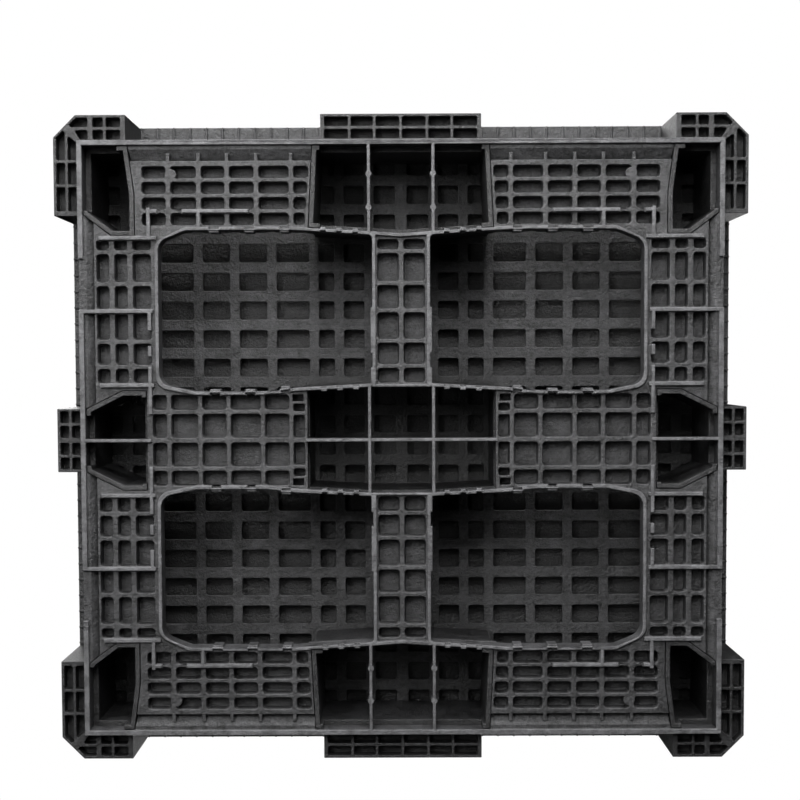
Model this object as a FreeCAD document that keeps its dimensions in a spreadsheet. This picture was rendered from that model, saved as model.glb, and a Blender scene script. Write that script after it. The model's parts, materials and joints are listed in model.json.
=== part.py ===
"""Four-way plastic pallet, 48 x 45 in, with nine hollow legs and a ribbed bottom frame.

Frame: +Z up, +X along the 48 in side, origin on the floor under the middle of the pallet.
The pallet comes apart into a top deck, a lower deck, nine legs and a bottom frame.
Nearly every piece is symmetric, so it is drawn as one quarter (or half) and mirrored.
"""
import FreeCAD
import Part
import Sketcher

import os
import re

SIZES = {
    # overall
    "pallet_length": 1219.2,
    "pallet_width": 1143.0,
    "pallet_height": 165.0,
    "wall": 6.0,
    "seam": 1.0,
    "over": 5.0,
    # levels above the floor
    "rib_face": 4.0,
    "cell_floor": 19.0,
    "raised_root": 24.0,
    "jog_face": 1.5,
    "frame_top": 26.0,
    "spigot_face": 3.0,
    "foot_face": 13.0,
    "foot_cell_floor": 29.0,
    "foot_cavity_floor": 34.0,
    "skirt_rib_face": 120.0,
    "skirt_face": 122.0,
    "skirt_top": 126.0,
    "grid_face": 130.0,
    "grid_back": 135.0,
    "plate_bottom": 148.0,
    "plate_top": 152.0,
    "rim_roof": 160.0,
    # decks
    "rim_width": 44.6,
    "skirt_rib": 4.0,
    "skirt_pitch": 30.0,
    "grid_bar": 18.0,
    "grid_cross_bar": 20.0,
    "grid_first_bar": 11.0,
    "grid_first_row": 5.0,
    "grid_radius": 4.0,
    "post": 8.0,
    # bottom frame
    "lip_length": 1126.0,
    "lip_width": 1046.0,
    "lip_wall": 9.0,
    "lip_low_start": 229.5,
    "lip_low_end": 318.0,
    "long_slope": 27.0,
    "end_slope": 18.0,
    "slope_rise": 15.0,
    "stub_reach": 13.0,
    "draft": 1.8,
    "cell_radius": 6.0,
    "inner_radius": 4.0,
    "edge_rib": 8.0,
    "edge_cross_rib": 5.8,
    "edge_cell_start": 195.0,
    "edge_first_end": 187.5,
    "edge_row_start": 375.4,
    "side_rib": 8.8,
    "side_cell_start": 436.5,
    "bar_rib": 6.5,
    "bar_row_start": 100.0,
    "spine_cell": 38.0,
    "centre_rib": 7.0,
    "centre_cell_start": 197.0,
    "middle_rib": 8.0,
    "inner_cell_start": 169.5,
    "inner_cell": 20.5,
    "inner_rib": 6.0,
    "window_radius": 24.0,
    "window_inner_radius": 7.0,
    "window_inner": 50.5,
    "window_outer": 423.5,
    "window_near": 86.0,
    "window_near_end": 99.0,
    "window_near_bend": 92.0,
    "window_far": 366.5,
    "window_far_end": 357.5,
    "window_far_corner": 347.0,
    "rim_wall": 6.0,
    "jog": 4.0,
    "fence": 6.5,
    "fence_line": 436.5,
    "web": 5.5,
    # leg openings in the bottom frame
    "side_wide": 162.0,
    "side_narrow": 155.0,
    "side_start": 364.0,
    "side_bow": 6.0,
    "spine_bow": 4.0,
    "spine_rim": 4.5,
    "end_start": 446.5,
    "end_wide": 88.0,
    "end_taper_start": 490.0,
    "end_narrow": 56.0,
    "corner_start_length": 464.0,
    "corner_start_width": 357.5,
    "corner_cut_length": 505.0,
    "corner_cut_width": 394.0,
    "corner_bevel": 11.0,
    "corner_wide_length": 74.0,
    "pin_start": 172.0,
    "pin_size": 19.0,
    "pin_row": 68.0,
    "pin_width": 12.0,
    "centre_length": 330.0,
    "centre_width": 186.0,
    "centre_bow": 6.0,
    "spine_edge": 56.0,
    "leg_wall": 8.0,
    "seat": 6.0,
    "seat_thickness": 6.0,
    # feet, the waffled pads outside the lip
    "foot_inset": 2.0,
    "foot_chamfer": 39.0,
    "foot_wall": 5.0,
    "foot_rib": 5.0,
    "foot_radius": 3.0,
    "side_foot": 140.5,
    "end_foot": 56.0,
    "corner_foot_length": 481.0,
    "corner_foot_width": 394.0,
    "knob_radius": 5.5,
    "boss_radius": 10.0,
}

# Widths of the open cells, outward from the middle, with one bar or rib between neighbours.
GRID_COLUMNS = (40.0, 38.0, 29.0, 61.0, 51.5, 50.5, 60.0, 39.0, 32.0)
GRID_ROWS = (32.0, 33.0, 33.5, 33.5, 33.5, 33.0, 34.0, 34.0, 33.5, 27.0)
EDGE_COLUMNS = (53.0, 43.0, 41.5, 45.0, 42.0)
EDGE_ROWS = (21.3, 21.3, 21.3, 21.3)
SIDE_COLUMNS = (32.5, 23.0, 22.5)
BAR_ROWS = (26.0, 37.5, 46.5, 41.0, 49.0, 18.0)
CENTRE_COLUMNS = (43.0, 53.0, 43.0, 47.5, 25.5)
CENTRE_ROWS = (42.5, 26.5)
INNER_ROWS = (40.0, 14.0)
# Where the row of cells beside a side leg starts, slanted along with the leg's opening.
EDGE_FIRST_STARTS = (167.0, 165.0, 163.0, 161.0)
# Spans along X where the window rims step sideways, and where the leg openings' rims do.
WINDOW_JOGS = ((195.0, 211.0), (256.0, 273.0), (317.0, 335.0))
LEG_JOGS = ((75.0, 84.5), (103.0, 112.5), (131.0, 140.5))

AXES = {"X": FreeCAD.Vector(1, 0, 0), "Y": FreeCAD.Vector(0, 1, 0)}

doc = FreeCAD.newDocument("PlasticPallet")
sheet = doc.addObject("Spreadsheet::Sheet", "Sizes")
for row, (alias, value) in enumerate(SIZES.items(), start=1):
    sheet.set(f"A{row}", alias)
    sheet.set(f"B{row}", str(value))
    sheet.setAlias(f"B{row}", alias)
doc.recompute()

ALIAS = re.compile(r"\b(" + "|".join(SIZES) + r")\b")


def bound(text):
    """The expression with each size read from the sheet."""
    return ALIAS.sub(r"Sizes.\1", str(text))


def bind(item, prop, text):
    item.setExpression(prop, bound(text))


def box(name, x, y, z):
    """A block between pairs of expressions along each axis."""
    block = doc.addObject("Part::Box", name)
    for axis, side, (low, high) in zip("xyz", ("Length", "Width", "Height"), (x, y, z)):
        bind(block, side, f"({high}) - ({low})")
        bind(block, f"Placement.Base.{axis}", low)
    return block


def tapered(name, x, y, z):
    """A block whose top is smaller than its foot by the draft on every side."""
    wedge = doc.addObject("Part::Wedge", name)
    long, wide = f"({x[1]}) - ({x[0]})", f"({y[1]}) - ({y[0]})"
    for low in ("Xmin", "Ymin", "Zmin"):
        bind(wedge, low, "0")
    for low in ("X2min", "Z2min"):
        bind(wedge, low, "draft")
    for axis, span in (("X", long), ("Z", wide)):
        bind(wedge, axis + "max", span)
        bind(wedge, axis + "2max", f"{span} - draft")
    bind(wedge, "Ymax", f"({z[1]}) - ({z[0]})")
    wedge.Placement.Rotation = FreeCAD.Rotation(AXES["X"], 90)
    for axis, place in zip("xyz", (x[0], y[1], z[0])):
        bind(wedge, f"Placement.Base.{axis}", place)
    return wedge


def disc(name, x, y, z, radius):
    """An upright cylinder between two heights."""
    rod = doc.addObject("Part::Cylinder", name)
    bind(rod, "Radius", radius)
    bind(rod, "Height", f"({z[1]}) - ({z[0]})")
    for axis, place in zip("xyz", (x, y, z[0])):
        bind(rod, f"Placement.Base.{axis}", place)
    return rod


def outline(name, points):
    """A closed sketch on the floor plane, every corner held by two sizes from the origin."""
    sketch = doc.addObject("Sketcher::SketchObject", name)
    now = [FreeCAD.Vector(evaluate(x), evaluate(y), 0) for x, y in points]
    count = len(now)
    lines = [Part.LineSegment(now[i], now[(i + 1) % count]) for i in range(count)]
    sketch.addGeometry(lines, False)
    for i in range(count):
        sketch.addConstraint(Sketcher.Constraint("Coincident", i, 2, (i + 1) % count, 1))
    for i, (x, y) in enumerate(points):
        for kind, text, value in (("DistanceX", x, now[i].x), ("DistanceY", y, now[i].y)):
            if value == 0:
                axis = -2 if kind == "DistanceX" else -1
                sketch.addConstraint(Sketcher.Constraint("PointOnObject", i, 1, axis))
                continue
            index = sketch.addConstraint(Sketcher.Constraint(kind, -1, 1, i, 1, value))
            bind(sketch, f"Constraints[{index}]", text)
    return sketch


def evaluate(text):
    """The present value of an expression over the sheet."""
    return float(sheet.evalExpression(bound(text).replace("Sizes.", "")))


def corner_of(point):
    return tuple(evaluate(text) for text in point)


def offset(name, sketch, distance):
    """The sketch's outline moved outward, or inward where the distance is negative."""
    moved = doc.addObject("Part::Offset2D", name)
    moved.Source = sketch
    moved.Join = "Intersection"
    bind(moved, "Value", distance)
    return moved


def prism(name, section, z):
    """An outline raised between two heights."""
    solid = doc.addObject("Part::Extrusion", name)
    solid.Base = section
    solid.DirMode = "Custom"
    solid.Dir = FreeCAD.Vector(0, 0, 1)
    solid.Solid = True
    bind(solid, "LengthFwd", f"({z[1]}) - ({z[0]})")
    bind(solid, "Placement.Base.z", z[0])
    return solid


def rounded(name, solid, radius, picks=None):
    """The solid with its upright or slanted edges rounded, or only those near some points."""
    solid.recompute(True)
    edges = []
    for index, edge in enumerate(solid.Shape.Edges, start=1):
        first, last = edge.Vertexes[0].Point, edge.Vertexes[-1].Point
        if abs(first.z - last.z) < 1e-6:
            continue
        if picks is None or any((first.x - x) ** 2 + (first.y - y) ** 2 < 4 for x, y in picks):
            edges.append((index, radius, radius))
    fillet = doc.addObject("Part::Fillet", name)
    fillet.Base = solid
    fillet.Edges = edges
    return fillet


def together(name, items):
    """Separate solids kept as one group."""
    group = doc.addObject("Part::Compound", name)
    group.Links = items
    return group


def fused(name, items, refine=False):
    joined = doc.addObject("Part::MultiFuse", name)
    joined.Shapes = items
    joined.Refine = refine
    return joined


def cut(name, base, tools, refine=False):
    left = doc.addObject("Part::Cut", name)
    left.Base = base
    left.Tool = tools[0] if len(tools) == 1 else together(name + "Tools", tools)
    left.Refine = refine
    return left


def mirrored(name, source, axis):
    """The source reflected across the plane through the origin square to an axis."""
    image = doc.addObject("Part::Mirroring", name)
    image.Source = source
    image.Normal = AXES[axis]
    return image


def four_ways(name, quarter):
    """One quarter and its three reflections, as one solid."""
    half = fused(name + "Half", [quarter, mirrored(name + "AcrossX", quarter, "X")])
    return fused(name, [half, mirrored(name + "AcrossY", half, "Y")], refine=True)


def runs(start, widths, gap):
    """Pairs of expressions for cells laid outward from a start with equal gaps."""
    pairs = []
    for i, width in enumerate(widths):
        low = f"{start} + {sum(widths[:i])} + {i} * {gap}"
        pairs.append((low, f"{low} + {width}"))
    return pairs


def cells(name, columns, rows, z, shape=tapered, radius="cell_radius"):
    """A block of cells with rounded corners, one for every column and row."""
    blocks = []
    for i, x in enumerate(columns):
        for j, y in enumerate(rows):
            block = shape(f"{name}{i}_{j}", x, y, z)
            blocks.append(rounded(f"{name}{i}_{j}Round", block, SIZES[radius]))
    return together(name, blocks)


HALF_LENGTH = "pallet_length / 2"
HALF_WIDTH = "pallet_width / 2"
LIP_X = "lip_length / 2"
LIP_Y = "lip_width / 2"
LIP_IN_X = "lip_length / 2 - lip_wall"
LIP_IN_Y = "lip_width / 2 - lip_wall"
FOOT_X = "pallet_length / 2 - foot_inset"
FOOT_Y = "pallet_width / 2 - foot_inset"
Z_CAVITY = ("foot_cavity_floor", "skirt_rib_face + over")

SIDE_OUTLINE = [
    ("-side_wide", "side_start + side_bow"),
    ("-spine_edge", "side_start"),
    ("0", "side_start - spine_bow"),
    ("spine_edge", "side_start"),
    ("side_wide", "side_start + side_bow"),
    ("side_narrow", LIP_IN_Y),
    ("-side_narrow", LIP_IN_Y),
]
END_OUTLINE = [
    ("end_start", "-end_wide"),
    ("end_taper_start", "-end_wide"),
    (LIP_IN_X, "-end_narrow"),
    (LIP_IN_X, "end_narrow"),
    ("end_taper_start", "end_wide"),
    ("end_start", "end_wide"),
]
CORNER_OUTLINE = [
    ("corner_start_length", "corner_start_width"),
    ("corner_cut_length", "corner_start_width"),
    (LIP_IN_X, "corner_cut_width"),
    (LIP_IN_X, LIP_IN_Y),
    ("corner_start_length + corner_bevel", LIP_IN_Y),
    ("corner_start_length", "corner_start_width + corner_wide_length"),
]
CENTRE_OUTLINE = [
    ("-centre_length / 2", "-centre_width / 2 + centre_bow"),
    ("-spine_edge", "-centre_width / 2"),
    ("spine_edge", "-centre_width / 2"),
    ("centre_length / 2", "-centre_width / 2 + centre_bow"),
    ("centre_length / 2", "centre_width / 2 - centre_bow"),
    ("spine_edge", "centre_width / 2"),
    ("-spine_edge", "centre_width / 2"),
    ("-centre_length / 2", "centre_width / 2 - centre_bow"),
]


def window_points(grow):
    """The window's outline, its long edges bowed, grown all round by an expression."""
    near, far = f"window_near - {grow}", f"window_far + {grow}"
    inner, outer = f"window_inner - {grow}", f"window_outer + {grow}"
    return [
        (inner, f"window_near_end - {grow}"),
        ("window_inner + 136.5", f"window_near_bend - {grow}"),
        ("window_inner + 189.5", near),
        ("window_outer - 62", near),
        (outer, f"window_near_end - {grow}"),
        (outer, "window_far_corner"),
        ("window_outer - 48", far),
        ("window_inner + 137", far),
        (inner, f"window_far_end + {grow}"),
    ]


def window(name, grow, z):
    points = window_points(grow)
    solid = prism(name, outline(name + "Sketch", points), z)
    corners = [corner_of(point) for point in points]
    outer = rounded(name + "Round", solid, SIZES["window_radius"], corners[4:7])
    inner = SIZES["window_inner_radius"]
    return rounded(name + "InnerRound", outer, inner, [corners[0], corners[-1]])


def frame_cells():
    """Every blind cell of the waffled bars, widest at its mouth."""
    z = ("rib_face - 0.5", "cell_floor")
    edge_rows = runs("edge_row_start", EDGE_ROWS, "edge_cross_rib")
    bar_rows = runs("bar_row_start", BAR_ROWS, "bar_rib")
    groups = [
        cells("EdgeCell", runs("edge_cell_start", EDGE_COLUMNS, "edge_rib"), edge_rows, z),
        cells("SideCell", runs("side_cell_start", SIDE_COLUMNS, "side_rib"), bar_rows, z),
        cells("SpineCell", [("middle_rib / 2", "middle_rib / 2 + spine_cell")], bar_rows, z),
        cells("CentreCell", runs("centre_cell_start", CENTRE_COLUMNS, "centre_rib"),
              runs("middle_rib / 2", CENTRE_ROWS, "centre_rib"), z),
        cells("InnerCell", [("inner_cell_start", "inner_cell_start + inner_cell")],
              runs("middle_rib / 2", INNER_ROWS, "inner_rib"), z, radius="inner_radius"),
    ]
    for i, (start, row) in enumerate(zip(EDGE_FIRST_STARTS, edge_rows)):
        groups.append(cells(f"EdgeFirst{i}", [(str(start), "edge_first_end")], [row], z))
    return groups


def between(value, start, end):
    """The height at a value along the line from one point to another."""
    share = (value - start[0]) / (end[0] - start[0])
    return start[1] + share * (end[1] - start[1])


def jogs():
    """Where rims step sideways: blocks that add the moved piece, and notches where it was."""
    added, notches = [], []
    step, rim = SIZES["jog"], SIZES["rim_wall"]
    points = [corner_of(point) for point in window_points("0")]
    near, far = SIZES["window_near"], SIZES["window_far"]
    spans = [(f"Far{i}", span, far, -1) for i, span in enumerate(WINDOW_JOGS)]
    spans += [(f"Near{i}", span, max(near, between(span[0], points[1], points[2])), 1)
              for i, span in enumerate(WINDOW_JOGS)]
    for name, (low, high), edge, inward in spans:
        block = sorted((edge + inward * step, edge - inward * 2))
        notch = sorted((edge - inward * 2, edge - inward * (rim + 1)))
        added.append(box(f"Jog{name}", (low, high), block, ("jog_face", "raised_root")))
        notches.append(box(f"JogNotch{name}", (low, high), notch, ("-over", "rib_face")))
    side = [corner_of(point) for point in SIDE_OUTLINE[3:5]]
    centre = [corner_of(point) for point in CENTRE_OUTLINE[4:6]]
    for i, (low, high) in enumerate(LEG_JOGS):
        for name, (start, end), away in (("Side", side, 1), ("Centre", centre, -1)):
            edge = between((low + high) / 2, start, end)
            block = sorted((edge - away, edge + away * (step - 1)))
            notch = sorted((edge - away * 3, edge - away * (rim + 3)))
            added.append(box(f"LegJog{name}{i}", (low, high), block, ("0", "raised_root")))
            notches.append(box(f"LegJogNotch{name}{i}", (low, high), notch, ("-over", "rib_face + 2")))
    return added, notches


def bottom_frame():
    """The runner frame that ties the nine legs: waffled bars round four windows."""
    z_plate = ("rib_face", "frame_top")
    z_raised = ("0", "raised_root")
    z_through = ("-over", "frame_top + over")
    plate = box("FramePlate", ("0", LIP_X), ("0", LIP_Y), z_plate)
    lips = [
        box("LipLong", ("0", LIP_X), (LIP_IN_Y, LIP_Y), z_raised),
        box("LipEndLow", (LIP_IN_X, LIP_X), ("0", "lip_low_start"), z_raised),
        box("LipEndHigh", (LIP_IN_X, LIP_X), ("lip_low_end", LIP_Y), z_raised),
        window("WindowRim", "rim_wall", z_raised),
    ]
    blank = fused("FrameBlank", [plate] + lips)
    moved, notches = jogs()
    middle, far = "side_start - spine_bow", "side_start"
    near = "centre_width / 2"
    spine_rims = {
        "SpineRimFar": [("0", middle + " - rim_wall"), ("spine_edge", far + " - rim_wall"),
                        ("spine_edge", far), ("0", middle)],
        "SpineRimNear": [("0", near), ("spine_edge", near),
                         ("spine_edge", near + " + spine_rim"), ("0", near + " + spine_rim")],
    }
    for name, points in spine_rims.items():
        moved.append(prism(name, outline(name + "Outline", points), z_raised))
    openings = [
        window("Window", "0", z_through),
        prism("SideOpening", outline("SideOutline", SIDE_OUTLINE), z_through),
        prism("EndOpening", outline("EndOutline", END_OUTLINE), z_through),
        prism("CornerOpening", outline("CornerOutline", CORNER_OUTLINE), z_through),
        prism("CentreOpening", outline("CentreOutline", CENTRE_OUTLINE), z_through),
        box("PinPocket", ("pin_start", "pin_start + pin_size"), ("pin_row", "pin_row + pin_width"),
            ("-over", "raised_root")),
        slope("LongSlope", "long", "long_slope"),
        slope("EndSlope", "end", "end_slope"),
    ]
    quarter = cut("FrameQuarter", blank, openings + notches + frame_cells())
    spine_line = ("spine_edge - web / 2", "spine_edge + web / 2")
    webs = [
        box("SideWeb", spine_line, ("side_start - 3", LIP_Y), z_raised),
        box("EndWeb", ("end_start - 8", LIP_X), ("0", "web / 2"), z_raised),
        box("CentreWebLong", ("0", "centre_length / 2 + 3"), ("0", "web / 2"), z_raised),
        box("CentreWebCross", spine_line, ("0", "centre_width / 2 + 3"), z_raised),
        disc("SideKnobOuter", "spine_edge", "side_start + 99", z_raised, "knob_radius"),
        disc("SideKnobInner", "spine_edge", "side_start + 41", z_raised, "knob_radius"),
        disc("Boss", "side_wide + 239", "edge_row_start + 87.6", z_plate, "boss_radius"),
    ]
    ribbed = fused("FrameRibbed", [quarter] + webs + moved + rib_stubs() + fences(z_raised))
    return four_ways("bottom_frame", ribbed)


def slope(name, side, width):
    """Cutter for the band inside the lip, which falls from the lip's edge to the outer cells."""
    wedge = doc.addObject("Part::Wedge", name)
    for prop in ("Ymin", "Zmin", "X2max", "Z2min"):
        bind(wedge, prop, "0")
    for prop in ("Xmin", "X2min"):
        bind(wedge, prop, "-5")
    bind(wedge, "Xmax", "slope_rise")
    bind(wedge, "Ymax", width)
    if side == "long":
        low, high = "side_narrow", "corner_start_length + corner_bevel"
        wedge.Placement.Rotation = FreeCAD.Rotation(AXES["Y"], -90)
        bind(wedge, "Placement.Base.x", high)
        bind(wedge, "Placement.Base.y", f"{LIP_IN_Y} - {width}")
    else:
        low, high = "end_narrow", "corner_cut_width"
        wedge.Placement.Rotation = FreeCAD.Rotation(FreeCAD.Vector(1, 1, 1), -120)
        bind(wedge, "Placement.Base.x", f"{LIP_IN_X} - {width}")
        bind(wedge, "Placement.Base.y", low)
    for prop in ("Zmax", "Z2max"):
        bind(wedge, prop, f"({high}) - ({low})")
    return wedge


def rib_stubs():
    """The ends of the ribs between the edge cells, running out into the sloped band."""
    columns = runs("edge_cell_start", EDGE_COLUMNS[:-1], "edge_rib")
    root = f"{LIP_IN_Y} - long_slope"
    length = (f"{root} - 1", f"{root} + stub_reach")
    stubs = []
    for i, start in enumerate(["edge_first_end"] + [high for _, high in columns]):
        width = (f"{start} + 1", f"{start} + edge_rib - 1")
        stubs.append(box(f"RibStub{i}", width, length, ("rib_face", "cell_floor")))
    return stubs


def fences(z):
    """Thin upstanding ribs that catch the pallet or crate below."""
    line = ("fence_line", "fence_line + fence")
    spine_line = ("window_inner - rim_wall", "window_inner + 3")
    edge_row = ("edge_row_start + 21.3", "edge_row_start + 21.3 + edge_cross_rib")
    corner_row = ("window_far - 16", "window_far - 16 + fence")
    end_row = ("bar_row_start - fence", "bar_row_start")
    places = {
        "Corner": (("window_outer + 3", LIP_X + " - 36"), corner_row),
        "CornerUp": (line, ("window_far - 16", "edge_row_start + 30.5")),
        "CornerTab": (("fence_line - 11", "fence_line + 1"), edge_row),
        "Lip": (("window_outer + 10", LIP_X), ("lip_low_start - fence", "lip_low_start")),
        "SideHigh": (line, ("lip_low_start - 37", "lip_low_start")),
        "SideMid": (line, ("window_near + 62", "window_near + 80")),
        "SideLow": (line, ("end_wide - 42", "end_wide + 41.5")),
        "End": (("window_outer + 9", LIP_X + " - 35"), end_row),
        "Edge": (("266", "381"), edge_row),
        "EdgeStem": (("349.5", "355.5"), ("window_far + 4", "edge_row_start + 22")),
        "SpineHigh": (spine_line, ("152", "232")),
        "SpineLow": (spine_line, ("centre_width / 2 + 8", "127")),
    }
    return [box("Fence" + name, x, y, z) for name, (x, y) in places.items()]


def lower_deck():
    """The lower half of the deck: an open grid inside a flange that covers the hollow rim."""
    z_grid = ("grid_face", "grid_back")
    ring_x = "pallet_length / 2 - rim_width"
    ring_y = "pallet_width / 2 - rim_width"
    z_flange = ("skirt_face", "skirt_top")
    z_wall = ("skirt_face", "plate_bottom")
    inside_x, inside_y = ring_x + " - wall", ring_y + " - wall"
    blank = fused("LowerBlank", [
        box("GridPlate", ("0", ring_x), ("0", ring_y), z_grid),
        box("FlangeLong", ("0", HALF_LENGTH), (inside_y, HALF_WIDTH), z_flange),
        box("FlangeEnd", (inside_x, HALF_LENGTH), ("0", HALF_WIDTH), z_flange),
        box("WallLong", ("0", ring_x), (inside_y, ring_y), z_wall),
        box("WallEnd", (inside_x, ring_x), ("0", ring_y), z_wall),
    ])
    columns = runs("grid_first_bar", GRID_COLUMNS, "grid_bar")
    rows = runs("grid_first_row", GRID_ROWS, "grid_cross_bar")
    z_hole = ("grid_face - over", "grid_back + over")
    holes = cells("GridHole", columns, rows, z_hole, box, "grid_radius")
    z_tick = ("skirt_rib_face", "skirt_face")
    ribs = []
    for i, line in enumerate(tick_lines(HALF_LENGTH)):
        ribs.append(box(f"TickLong{i}", line, (ring_y, HALF_WIDTH), z_tick))
    for i, line in enumerate(tick_lines(HALF_WIDTH)):
        ribs.append(box(f"TickEnd{i}", (ring_x, HALF_LENGTH), line, z_tick))
    quarter = fused("LowerQuarter", [cut("LowerHoled", blank, [holes])] + ribs)
    return four_ways("lower_deck", quarter)


def tick_lines(half_side):
    """Spans of the small ribs across the flange, from the middle of a side to its end."""
    count = int((evaluate(half_side) - SIZES["skirt_rib"]) // SIZES["skirt_pitch"])
    first = [("0", "skirt_rib / 2")]
    return first + [(f"{i} * skirt_pitch - skirt_rib / 2", f"{i} * skirt_pitch + skirt_rib / 2")
                    for i in range(1, count + 1)]


def top_deck():
    """The load deck: a plate with a hollow raised rim that holds the pallet stacked above."""
    ring_x = "pallet_length / 2 - rim_width"
    ring_y = "pallet_width / 2 - rim_width"
    shell = box("DeckShell", ("0", HALF_LENGTH), ("0", HALF_WIDTH), ("skirt_top", "pallet_height"))
    z_under = ("skirt_top - over", "plate_bottom")
    z_rim = ("skirt_top - over", "rim_roof")
    inside_x, inside_y = HALF_LENGTH + " - wall", HALF_WIDTH + " - wall"
    hollows = [
        box("DeckRecess", ("0", ring_x), ("0", ring_y), ("plate_top", "pallet_height + over")),
        box("DeckUnder", ("0", inside_x), ("0", inside_y), z_under),
        box("RimHollowLong", ("0", inside_x), (ring_y + " + wall", inside_y), z_rim),
        box("RimHollowEnd", (ring_x + " + wall", inside_x), ("0", inside_y), z_rim),
    ]
    posts = []
    half = "post / 2"
    bars = runs("grid_first_bar", GRID_COLUMNS, "grid_bar")[0:-1:2]
    crossings = runs("grid_first_row", GRID_ROWS, "grid_cross_bar")[1:-1:2]
    for i, (_, bar) in enumerate(bars):
        for j, (_, cross) in enumerate(crossings):
            x = (f"{bar} + grid_bar / 2 - {half}", f"{bar} + grid_bar / 2 + {half}")
            y = (f"{cross} + grid_cross_bar / 2 - {half}", f"{cross} + grid_cross_bar / 2 + {half}")
            posts.append(box(f"Post{i}_{j}", x, y, ("grid_back", "plate_bottom + 1")))
    return four_ways("top_deck", fused("DeckPosted", [cut("DeckQuarter", shell, hollows)] + posts))


def tube(name, points, outer_grow, inner_grow):
    """A leg's hollow tube above the frame, its seat on the frame, and the pocket through it."""
    hole = outline(name + "Outline", points)
    outer = offset(name + "Outer", hole, outer_grow)
    inner = offset(name + "Inner", hole, inner_grow)
    seat = offset(name + "Seat", hole, "seat")
    solids = [
        prism(name + "Tube", outer, ("frame_top", "grid_face")),
        prism(name + "SeatRing", seat, ("frame_top", "frame_top + seat_thickness")),
    ]
    spigot = prism(name + "Spigot", outer, ("spigot_face", "frame_top"))
    return solids, spigot, prism(name + "Pocket", inner, ("-over", "grid_face + over"))


def centre_leg():
    """The middle leg: a plain tube that stands on the frame round its opening."""
    solids, _, pocket = tube("Centre", CENTRE_OUTLINE, "leg_wall - 2", "-2")
    return cut("centre_leg", fused("CentreShell", solids), [pocket], refine=True)


def side_leg():
    """A middle leg of a long side: tube, locating side walls and the waffled foot outside."""
    solids, spigot, pocket = tube("Side", SIDE_OUTLINE, "-seam", "-seam - leg_wall")
    middle = ("-side_narrow + 14", "side_narrow - 14")
    gap = box("SideSpigotGap", middle, ("side_start - over", LIP_Y), ("0", "frame_top"))
    walls = cut("SideSpigots", spigot, [gap])
    width = ("-side_foot", "side_foot")
    foot = [
        box("SideFootLow", width, (LIP_Y + " + seam", FOOT_Y), ("foot_face", "frame_top + seam")),
        box("SideFootHigh", width, (LIP_IN_Y + " - 5", FOOT_Y), ("frame_top + seam", "skirt_rib_face")),
    ]
    half_cells = cells("SideFootCell", runs("foot_rib / 2", (41.0, 38.5, 41.5), "foot_rib"),
                       runs(LIP_Y + " + 3.5", (16.5, 16.5), "foot_rib"),
                       ("foot_face - over", "foot_cell_floor"), box, "foot_radius")
    hollow = [
        pocket,
        half_cells,
        mirrored("SideFootCellAcross", half_cells, "X"),
        box("SideCavity", ("-side_foot + foot_wall", "side_foot - foot_wall"),
            (LIP_IN_Y + " + seam", FOOT_Y + " - foot_wall"), Z_CAVITY),
    ]
    return cut("side_leg_rear", fused("SideShell", solids + [walls] + foot), hollow, refine=True)


def end_leg():
    """A middle leg of a short side, its tube narrowing towards the foot outside."""
    solids, spigot, pocket = tube("End", END_OUTLINE, "-seam", "-seam - leg_wall")
    z_gap = ("0", "frame_top")
    gaps = [
        box("EndSpigotGap", ("end_start", LIP_X), ("-end_narrow + 12", "end_narrow - 12"), z_gap),
        box("EndSpigotInner", ("end_start", "end_start + 14"), ("-end_wide + 12", "end_wide - 12"), z_gap),
    ]
    walls = cut("EndSpigots", spigot, gaps)
    width = ("-end_foot", "end_foot")
    foot = [
        box("EndFootLow", (LIP_X + " + seam", FOOT_X), width, ("foot_face", "frame_top + seam")),
        box("EndFootHigh", (LIP_IN_X + " - 5", FOOT_X), width, ("frame_top + seam", "skirt_rib_face")),
    ]
    half_cells = cells("EndFootCell", runs(LIP_X + " + 3.5", (15.5, 15.5), "foot_rib"),
                       runs("foot_rib / 2 + 1", (21.0, 21.0), "foot_rib + 1"),
                       ("foot_face - over", "foot_cell_floor"), box, "foot_radius")
    hollow = [
        pocket,
        half_cells,
        mirrored("EndFootCellAcross", half_cells, "Y"),
        box("EndCavity", (LIP_IN_X + " + seam", FOOT_X + " - foot_wall"),
            ("-end_foot + foot_wall", "end_foot - foot_wall"), Z_CAVITY),
    ]
    return cut("end_leg_right", fused("EndShell", solids + [walls] + foot), hollow, refine=True)


def corner_foot_points(inner_x, inner_y):
    """The L-shaped foot round a corner, with its outer corner cut off."""
    return [
        ("corner_foot_length", inner_y),
        (inner_x, inner_y),
        (inner_x, "corner_foot_width"),
        (FOOT_X, "corner_foot_width"),
        (FOOT_X, FOOT_Y + " - foot_chamfer"),
        (FOOT_X + " - foot_chamfer", FOOT_Y),
        ("corner_foot_length", FOOT_Y),
    ]


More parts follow.
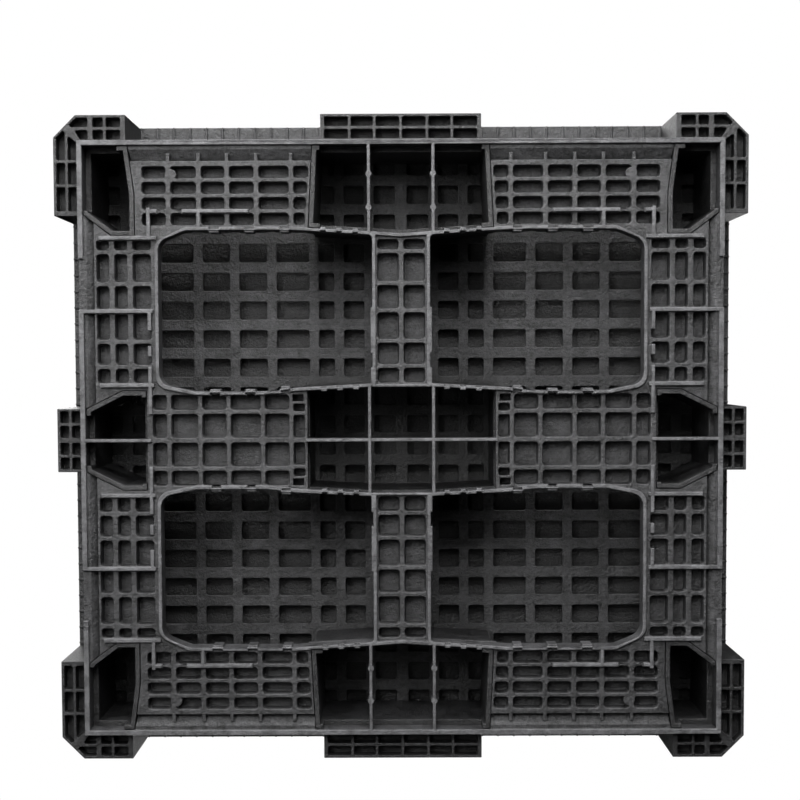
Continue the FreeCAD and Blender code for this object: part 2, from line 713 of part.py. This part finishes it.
def corner_foot_cells():
    """Two rows of cells round the corner, split by a rib along the diagonal."""
    z = ("foot_face - over", "foot_cell_floor")
    rows_y = runs(LIP_Y + " + 3.5", (16.5, 16.5), "foot_rib")
    rows_x = runs(LIP_X + " + 3.5", (15.5, 15.5), "foot_rib")
    columns = runs("corner_foot_length + foot_wall", (25.0, 18.0), "foot_rib + 4")
    rows = runs("corner_foot_width + foot_wall", (42.0, 37.0), "foot_rib + 3")
    blocks = [
        cells("CornerCellLong", columns, rows_y, z, box, "foot_radius"),
        cells("CornerCellEnd", rows_x, rows, z, box, "foot_radius"),
    ]
    far_x, far_y = FOOT_X + " - foot_wall", FOOT_Y + " - foot_wall"
    corner = [
        [("547", rows_y[0][0]), ("560", rows_y[0][0]), ("571", rows_y[0][1]), ("547", rows_y[0][1])],
        [("547", rows_y[1][0]), ("576", rows_y[1][0]), ("580", "552"), ("567", far_y), ("547", far_y)],
        [(rows_x[0][0], "491"), (rows_x[0][1], "491"), (rows_x[0][1], "534"), (rows_x[0][0], "521")],
        [(rows_x[1][0], "491"), (far_x, "491"), (far_x, "530"), ("590", "542"), (rows_x[1][0], "539")],
    ]
    for i, points in enumerate(corner):
        solid = prism(f"CornerCell{i}", outline(f"CornerCellOutline{i}", points), z)
        blocks.append(rounded(f"CornerCell{i}Round", solid, SIZES["foot_radius"]))
    return blocks


def corner_leg():
    """A corner leg: tube with one slanted wall, and an L-shaped foot outside the lip."""
    solids, spigot, pocket = tube("Corner", CORNER_OUTLINE, "-seam", "-seam - leg_wall")
    gap = box("CornerSpigotGap", ("corner_start_length + 30", LIP_X), ("corner_cut_width + 8", LIP_Y),
              ("0", "frame_top"))
    walls = cut("CornerSpigots", spigot, [gap])
    low = outline("CornerFootLow", corner_foot_points(LIP_X + " + seam", LIP_Y + " + seam"))
    high = outline("CornerFootHigh", corner_foot_points(LIP_IN_X + " - 5", LIP_IN_Y + " - 5"))
    foot = [
        prism("CornerFootLowBlock", low, ("foot_face", "frame_top + seam")),
        prism("CornerFootHighBlock", high, ("frame_top + seam", "skirt_rib_face")),
    ]
    cavity = prism("CornerCavity", offset("CornerCavityOutline", high, "-wall"), Z_CAVITY)
    shell = fused("CornerShell", solids + [walls] + foot)
    return cut("corner_leg_rear_right", shell, [pocket, cavity] + corner_foot_cells(), refine=True)


def legs():
    """All nine legs, the outer ones reflected from the one at the rear right."""
    side, end, corner = side_leg(), end_leg(), corner_leg()
    rear_left = mirrored("corner_leg_rear_left", corner, "X")
    return [
        centre_leg(),
        side,
        mirrored("side_leg_front", side, "Y"),
        end,
        mirrored("end_leg_left", end, "X"),
        corner,
        rear_left,
        mirrored("corner_leg_front_right", corner, "Y"),
        mirrored("corner_leg_front_left", rear_left, "Y"),
    ]


def build():
    """Make every piece, check it, and write it under its own name."""
    parts = [top_deck(), lower_deck(), bottom_frame()] + legs()
    doc.recompute()
    failed = [item.Name for item in doc.Objects if "Invalid" in item.State or "Error" in item.State]
    if failed:
        raise RuntimeError(f"failed: {failed}")
    os.makedirs("parts", exist_ok=True)
    for part in parts:
        part.Label = part.Name
        shape = part.Shape
        if shape.isNull() or not shape.isValid() or len(shape.Solids) != 1:
            raise RuntimeError(f"{part.Label}: {len(shape.Solids)} solids, valid {shape.isValid()}")
        print(part.Label, round(shape.Volume / 1000.0, 1), "cm3")
        shape.exportStep(f"parts/{part.Label}.step")


build()
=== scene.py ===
"""Black plastic pallet, seen from below: the CAD frame with moulded-plastic looks, light and camera."""
import json
import math

import bpy
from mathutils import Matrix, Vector


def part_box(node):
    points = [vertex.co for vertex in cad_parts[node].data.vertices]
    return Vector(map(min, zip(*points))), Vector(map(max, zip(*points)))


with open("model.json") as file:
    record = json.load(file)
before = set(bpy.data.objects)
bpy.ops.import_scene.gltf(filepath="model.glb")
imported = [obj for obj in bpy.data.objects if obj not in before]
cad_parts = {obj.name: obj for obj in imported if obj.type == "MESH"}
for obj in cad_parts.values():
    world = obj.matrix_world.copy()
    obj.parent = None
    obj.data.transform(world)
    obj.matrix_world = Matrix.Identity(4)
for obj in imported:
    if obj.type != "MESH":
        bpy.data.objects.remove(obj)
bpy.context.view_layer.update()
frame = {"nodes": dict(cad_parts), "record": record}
NODES = frame["nodes"]

# Rounding of the CAD nodes' hard edges.
BEVEL_WIDTH = 0.0013
BEVEL_SEGMENTS = 3
WELD_DISTANCE = 0.00002
EDGE_ANGLE = math.radians(35.0)

# Painted shade: the middle leg's pocket, from a little above its mouth, and the gap
# between the decks, both to just over the lower deck's top, are darkened towards black where little
# light gets in.
PAINTED_SHADE = (0.003, 0.003, 0.003)
INSET_X = 0.001
INSET_Y = 0.004
CLEAR_MOUTH = 0.014
DECK_GAP = 0.0115
OVER_DECK = 0.001
leg_low, leg_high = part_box("centre_leg")
deck_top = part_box("lower_deck")[1].z
SHUT_LEG_X = (leg_low.x + INSET_X, leg_high.x - INSET_X)
SHUT_LEG_Y = (leg_low.y + INSET_Y, leg_high.y - INSET_Y)
SHUT_LEG_Z = (leg_low.z + CLEAR_MOUTH, deck_top + OVER_DECK)
DECK_GAP_Z = (deck_top - DECK_GAP, deck_top + OVER_DECK)
SIDE_FADE = 0.01
HEIGHT_FADE = 0.001
LEG_SHADE = 0.85
GAP_SHADE = 0.62

# Painted shade in hollows and corners: the reach within which other surfaces shut a place in, and ramps
# of (openness, level).
HOLLOW_REACH = 0.11
HOLLOW_SHUT = (0.15, 0.06)
CORNER_REACH = 0.012
CORNER_SHADE = [(0.25, 0.42), (0.85, 0.0)]

# Wear and painted highlight: edges lightened both as rubbed wear and as painted highlight, scuffs
# within 3 mm of the floor, and scratches.
EDGE_REACH = 0.0025
EDGE_RUB_AND_HIGHLIGHT = [(0.45, 1.0), (0.85, 0.0)]
EDGE_BREAKS = [(0.36, 0.35), (0.60, 1.0)]
FLOOR_CONTACT_Z = (-0.001, 0.0)
FLOOR_FADE = 0.003
SCUFF_BREAKS = [(0.40, 0.3), (0.62, 1.0)]
SCUFF_SHARE = 0.85
SCRATCH_BREAKS = [(0.47, 0.0), (0.66, 1.0)]
SCRATCH_SHARE = 0.08

# Name: dark and light tone, tone of edges lightened as wear and painted highlight (and of scuffs and
# scratches), share of that on an edge, and how open a place has to be, from 0 to 1, to be free of
# painted shade.
PLASTICS = {
    "deck_plastic": (0.010, 0.063, 0.13, 0.5, 0.95),
    "leg_plastic": (0.008, 0.046, 0.12, 0.35, 0.90),
    "frame_plastic": (0.012, 0.074, 0.20, 0.55, 0.60),
}
BLUE_CAST = 1.04
TONE_RAMP = [(0.43, 0.0), (0.57, 1.0)]

# Noise patterns: scale, detail, roughness and warp. Drawn-out ones also have a stretch and a turn.
SWIRL = (9.0, 6.0, 0.62, 1.6)
STREAK = (3.2, 5.0, 0.6, 0.7)
STREAK_STRETCH = (2.0, 34.0, 34.0)
STREAK_TURN = 0.35
PATCHES = (30.0, 5.0, 0.65, 1.2)
MOTTLE = (150.0, 5.0, 0.75, 0.4)
SCUFFS = (34.0, 5.0, 0.7, 0.6)
SCRATCHES = (9.0, 5.0, 0.7, 0.5)
SCRATCH_STRETCH = (3.0, 40.0, 3.0)
SCRATCH_TURN = 0.9
GRAIN = (700.0, 3.0, 0.6)
PITS = (190.0, 4.0, 0.7)
FLOOR_CLOUDS = (1.7, 3.0, 0.5)

# Gloss and bump.
SPECULAR = 0.6
ROUGHNESS = {"From Min": 0.3, "From Max": 0.7, "To Min": 0.30, "To Max": 0.55}
BUMP_STRENGTH = 0.6
BUMP_DISTANCE = 0.006

# Softboxes under the pallet: tilt from straight below, turn from the front to the right, side, watts.
LIGHT_DISTANCE = 3.2
LIGHTS_BELOW = {
    "key": (48, 0, 1.0, 66.0),
    "key_left": (46, -55, 0.9, 38.0),
    "key_right": (50, 45, 1.2, 5.0),
    "front": (25, 0, 1.0, 9.0),
    "left": (25, -90, 1.0, 6.0),
    "graze_front": (78, 0, 0.9, 90.0),
    "graze_left": (74, -45, 0.9, 40.0),
    "graze_right": (74, 45, 0.9, 14.0),
}
# Softboxes over the pallet: place, side, watts.
LIGHTS_ABOVE = {
    "above_key": ((-1.6, -2.0, 2.6), 1.6, 130.0),
    "above_fill": ((2.2, 1.2, 1.8), 1.8, 55.0),
    "above_back": ((0.3, 2.6, 1.4), 1.2, 40.0),
}

# Floor: half its side, its paint, and the pale tones it glows with.
FLOOR_HALF_SIDE = 6.0
FLOOR_PAINT = (0.25, 0.25, 0.25, 1.0)
FLOOR_ROUGHNESS = 0.9
FLOOR_GLOW = 0.85
FLOOR_TONES = [(0.3, 0.78), (0.7, 0.83)]

PALLET_MIDDLE = Vector((0.0, 0.0, 0.05))
CAMERA_PLACE = (0.0013, -0.1323, -1.7471)
CAMERA_TURN = (177.956, -0.126, 0.222)
CAMERA_LENS = 45.0
CAMERA_SENSOR = 36.0


# ---------------------------------------------------------------- shader helpers
class Shader:
    """A material under construction: short calls that add nodes and link them."""

    def __init__(self, name):
        self.material = bpy.data.materials.new(name)
        self.material.use_nodes = True
        self.tree = self.material.node_tree
        self.tree.nodes.clear()

    def node(self, kind, **values):
        made = self.tree.nodes.new(kind)
        for key, value in values.items():
            setattr(made, key, value)
        return made

    def link(self, source, target):
        self.tree.links.new(source, target)

    def feed(self, value, socket):
        """Set a socket to a number, or link another socket to it."""
        if isinstance(value, (int, float)):
            socket.default_value = value
        else:
            self.link(value, socket)

    def finish(self, shader_socket):
        output = self.node("ShaderNodeOutputMaterial")
        self.link(shader_socket, output.inputs["Surface"])
        return self.material

    def place(self, stretch=(1.0, 1.0, 1.0), turn=0.0):
        """Object coordinates, stretched to draw a pattern out along an axis."""
        mapping = self.node("ShaderNodeMapping")
        mapping.inputs["Scale"].default_value = stretch
        mapping.inputs["Rotation"].default_value = (0.0, 0.0, turn)
        self.link(self.node("ShaderNodeTexCoord").outputs["Object"], mapping.inputs["Vector"])
        return mapping.outputs["Vector"]

    def noise(self, where, scale, detail, rough, warp=0.0):
        made = self.node("ShaderNodeTexNoise")
        values = {"Scale": scale, "Detail": detail, "Roughness": rough, "Distortion": warp}
        for name, value in values.items():
            made.inputs[name].default_value = value
        self.link(where, made.inputs["Vector"])
        return made.outputs["Fac"]

    def ramp(self, value, stops):
        """A grey ramp over (position, level) stops."""
        made = self.node("ShaderNodeValToRGB")
        for element, (position, level) in zip(made.color_ramp.elements, stops):
            element.position = position
            element.color = (level, level, level, 1.0)
        self.link(value, made.inputs["Fac"])
        return made.outputs["Color"]

    def openness(self, reach, inside=False, alone=True):
        """How open the surface is within a reach, in front of it or inside the plastic behind it."""
        made = self.node("ShaderNodeAmbientOcclusion", samples=4, inside=inside, only_local=alone)
        made.inputs["Distance"].default_value = reach
        return made.outputs["AO"]

    def maths(self, operation, first, second):
        made = self.node("ShaderNodeMath", operation=operation)
        self.feed(first, made.inputs[0])
        self.feed(second, made.inputs[1])
        return made.outputs["Value"]

    def product(self, *values):
        total = 1.0
        for value in values:
            total = self.maths("MULTIPLY", total, value)
        return total

    def blend(self, *shares):
        """The sum of sockets, each times its share."""
        total = 0.0
        for value, share in shares:
            total = self.maths("ADD", total, self.maths("MULTIPLY", value, share))
        return total

    def clamped(self, value):
        made = self.node("ShaderNodeClamp")
        self.link(value, made.inputs["Value"])
        return made.outputs["Result"]

    def within(self, axis, span, fade):
        """One where a coordinate lies in a span, fading to nothing just past its ends."""
        split = self.node("ShaderNodeSeparateXYZ")
        self.link(self.node("ShaderNodeTexCoord").outputs["Object"], split.inputs["Vector"])
        low, high = span
        above = self.maths("DIVIDE", self.maths("SUBTRACT", split.outputs[axis], low - fade), fade)
        below = self.maths("DIVIDE", self.maths("SUBTRACT", high + fade, split.outputs[axis]), fade)
        return self.product(self.clamped(above), self.clamped(below))

    def mix(self, amount, first, second, mode="MIX"):
        """A colour mix of two colours or sockets."""
        made = self.node("ShaderNodeMix", data_type="RGBA", blend_type=mode)
        self.feed(amount, made.inputs["Factor"])
        for name, value in (("A", first), ("B", second)):
            socket = next(s for s in made.inputs if s.name == name and s.type == "RGBA")
            if isinstance(value, tuple):
                socket.default_value = (*value, 1.0)
            else:
                self.link(value, socket)
        return next(s for s in made.outputs if s.type == "RGBA")


# ---------------------------------------------------------------- moulded plastic
def grey(level):
    """A neutral colour with the plastic's slight blue cast."""
    return (level, level, level * BLUE_CAST)


def moulded_plastic(name, dark, light, wear_and_highlight_tone, edge_wear_and_highlight_share, open_at):
    """Black structural-foam polyethylene: mottled, with painted shade in hollows, edges lightened as
    wear and painted highlight, and pale worn feet.
    """
    shader = Shader(name)
    swirl = shader.noise(shader.place(), *SWIRL)
    streak = shader.noise(shader.place(STREAK_STRETCH, STREAK_TURN), *STREAK)
    patches = shader.noise(shader.place(), *PATCHES)
    mottle = shader.noise(shader.place(), *MOTTLE)
    tone = shader.blend((swirl, 0.25), (streak, 0.15), (patches, 0.25), (mottle, 0.35))
    base = shader.mix(shader.ramp(tone, TONE_RAMP), grey(dark), grey(light))
    base = paint_shade(shader, base, open_at)
    base = worn_and_highlighted(shader, base, mottle, grey(wear_and_highlight_tone), edge_wear_and_highlight_share)

    surface = shader.node("ShaderNodeBsdfPrincipled")
    surface.inputs["Specular IOR Level"].default_value = SPECULAR
    shader.link(base, surface.inputs["Base Color"])
    shader.link(gloss(shader, patches, mottle), surface.inputs["Roughness"])
    shader.link(pitted(shader), surface.inputs["Normal"])
    return shader.finish(surface.outputs["BSDF"])


def paint_shade(shader, base, open_at):
    """Painted shade: darken what is shut in and gets little light: deep pockets, corners, the middle
    leg and the gap between the decks.
    """
    # Painted shade: the more other surfaces shut a place in, the darker its colour.
    deep = shader.ramp(shader.openness(HOLLOW_REACH, alone=False), [HOLLOW_SHUT, (open_at, 1.0)])
    base = shader.mix(1.0, base, deep, "MULTIPLY")
    # Painted shade: the middle leg's pocket and the gap between the decks, darkened towards black.
    in_leg = shader.product(
        shader.within("X", SHUT_LEG_X, SIDE_FADE),
        shader.within("Y", SHUT_LEG_Y, SIDE_FADE),
        shader.within("Z", SHUT_LEG_Z, HEIGHT_FADE),
    )
    base = shader.mix(shader.maths("MULTIPLY", in_leg, LEG_SHADE), base, PAINTED_SHADE)
    in_gap = shader.within("Z", DECK_GAP_Z, HEIGHT_FADE)
    base = shader.mix(shader.maths("MULTIPLY", in_gap, GAP_SHADE), base, PAINTED_SHADE)
    # Painted shade: corners and creases darkened.
    corner = shader.ramp(shader.openness(CORNER_REACH), CORNER_SHADE)
    return shader.mix(corner, base, PAINTED_SHADE)


def worn_and_highlighted(shader, base, mottle, wear_and_highlight_tone, edge_wear_and_highlight_share):
    """Lighten edges, as rubbed wear and as painted highlight, everything that touches the floor, and a
    few scratches.
    """
    # Painted highlight and wear: thin convex edges are lightened towards the pale tone.
    edge = shader.ramp(shader.openness(EDGE_REACH, inside=True), EDGE_RUB_AND_HIGHLIGHT)
    broken = shader.ramp(mottle, EDGE_BREAKS)
    base = shader.mix(shader.product(edge, broken, edge_wear_and_highlight_share), base, wear_and_highlight_tone)

    near_floor = shader.within("Z", FLOOR_CONTACT_Z, FLOOR_FADE)
    blotches = shader.noise(shader.place(), *SCUFFS)
    scuffs = shader.product(near_floor, shader.ramp(blotches, SCUFF_BREAKS))
    lines = shader.noise(shader.place(SCRATCH_STRETCH, SCRATCH_TURN), *SCRATCHES)
    scratches = shader.ramp(lines, SCRATCH_BREAKS)
    wear = shader.blend((scuffs, SCUFF_SHARE), (scratches, SCRATCH_SHARE))
    return shader.mix(wear, base, wear_and_highlight_tone)


def gloss(shader, patches, mottle):
    """Roughness that wanders with the mottling."""
    rough = shader.node("ShaderNodeMapRange")
    for name, value in ROUGHNESS.items():
        rough.inputs[name].default_value = value
    shader.link(shader.blend((patches, 0.5), (mottle, 0.5)), rough.inputs["Value"])
    return rough.outputs["Result"]


def pitted(shader):
    """The pitted, grainy skin of foamed plastic."""
    grain = shader.noise(shader.place(), *GRAIN)
    pits = shader.noise(shader.place(), *PITS)
    bump = shader.node("ShaderNodeBump")
    bump.inputs["Strength"].default_value = BUMP_STRENGTH
    bump.inputs["Distance"].default_value = BUMP_DISTANCE
    shader.link(shader.blend((grain, 0.25), (pits, 1.0)), bump.inputs["Height"])
    return bump.outputs["Normal"]


# ---------------------------------------------------------------- CAD nodes
def soften(node):
    """Clean the tessellation and round every hard edge of a CAD node."""
    weld = node.modifiers.new("weld", "WELD")
    weld.merge_threshold = WELD_DISTANCE
    bevel = node.modifiers.new("round", "BEVEL")
    bevel.width = BEVEL_WIDTH
    bevel.segments = BEVEL_SEGMENTS
    bevel.limit_method = "ANGLE"
    bevel.angle_limit = EDGE_ANGLE
    bevel.use_clamp_overlap = False
    bevel.loop_slide = False


def dress(node, material):
    node.data.materials.clear()
    node.data.materials.append(material)


def finish_nodes():
    """Plastic and rounded edges for every CAD node."""
    plastics = {name: moulded_plastic(name, *values) for name, values in PLASTICS.items()}
    for part in frame["record"]["subparts"]:
        node = NODES[part["node"]]
        dress(node, plastics[part["material_slot"]])
        soften(node)


# ---------------------------------------------------------------- stage
def floor_material():
    """Pale floor that is seen only from above, so that the underside can be looked at from below."""
    shader = Shader("pale_floor")
    tone = shader.ramp(shader.noise(shader.place(), *FLOOR_CLOUDS), FLOOR_TONES)
    paint = shader.node("ShaderNodeBsdfPrincipled")
    paint.inputs["Roughness"].default_value = FLOOR_ROUGHNESS
    paint.inputs["Base Color"].default_value = FLOOR_PAINT
    paint.inputs["Emission Strength"].default_value = FLOOR_GLOW
    shader.link(tone, paint.inputs["Emission Color"])
    clear = shader.node("ShaderNodeBsdfTransparent")
    both = shader.node("ShaderNodeMixShader")
    shader.link(shader.node("ShaderNodeNewGeometry").outputs["Backfacing"], both.inputs["Fac"])
    shader.link(paint.outputs["BSDF"], both.inputs[1])
    shader.link(clear.outputs["BSDF"], both.inputs[2])
    return shader.finish(both.outputs["Shader"])


def make_floor():
    """One square at the pallet's feet, which only the camera sees."""
    mesh = bpy.data.meshes.new("floor")
    half = FLOOR_HALF_SIDE
    corners = [(-half, -half, 0), (half, -half, 0), (half, half, 0), (-half, half, 0)]
    mesh.from_pydata(corners, [], [(0, 1, 2, 3)])
    mesh.materials.append(floor_material())
    floor = bpy.data.objects.new("floor", mesh)
    bpy.context.scene.collection.objects.link(floor)
    floor.visible_diffuse = False
    floor.visible_glossy = False
    floor.visible_transmission = False
    floor.visible_shadow = False


def white_world():
    """White all round to the camera, and no light from it on anything."""
    world = bpy.data.worlds.new("studio")
    bpy.context.scene.world = world
    world.use_nodes = True
    tree = world.node_tree
    tree.nodes.clear()
    background = tree.nodes.new("ShaderNodeBackground")
    background.inputs["Color"].default_value = (1.0, 1.0, 1.0, 1.0)
    path = tree.nodes.new("ShaderNodeLightPath")
    output = tree.nodes.new("ShaderNodeOutputWorld")
    tree.links.new(path.outputs["Is Camera Ray"], background.inputs["Strength"])
    tree.links.new(background.outputs["Background"], output.inputs["Surface"])


def softbox(name, place, size, power):
    """A square area light at a place, facing the pallet."""
    data = bpy.data.lights.new(name, "AREA")
    data.shape = "SQUARE"
    data.size = size
    data.energy = power
    light = bpy.data.objects.new(name, data)
    bpy.context.scene.collection.objects.link(light)
    light.location = place
    light.rotation_euler = (PALLET_MIDDLE - Vector(place)).to_track_quat("-Z", "Y").to_euler()


def from_below(tilt, turn):
    """A point under the pallet, tilted from straight below to the front, then turned to the right."""
    tilt, turn = math.radians(tilt), math.radians(turn)
    flat = math.sin(tilt) * LIGHT_DISTANCE
    return (flat * math.sin(turn), -flat * math.cos(turn), -LIGHT_DISTANCE * math.cos(tilt))


def make_lights():
    for name, (tilt, turn, size, power) in LIGHTS_BELOW.items():
        softbox(name, from_below(tilt, turn), size, power)
    for name, (place, size, power) in LIGHTS_ABOVE.items():
        softbox(name, place, size, power)


def make_camera():
    """Below the pallet, 13 cm towards the front of its middle, looking up."""
    data = bpy.data.cameras.new("camera")
    data.sensor_width = CAMERA_SENSOR
    data.lens = CAMERA_LENS
    camera = bpy.data.objects.new("camera", data)
    bpy.context.scene.collection.objects.link(camera)
    camera.location = CAMERA_PLACE
    camera.rotation_euler = [math.radians(turn) for turn in CAMERA_TURN]
    bpy.context.scene.camera = camera


finish_nodes()
make_floor()
white_world()
make_lights()
make_camera()
bpy.context.scene.view_settings.view_transform = "Standard"
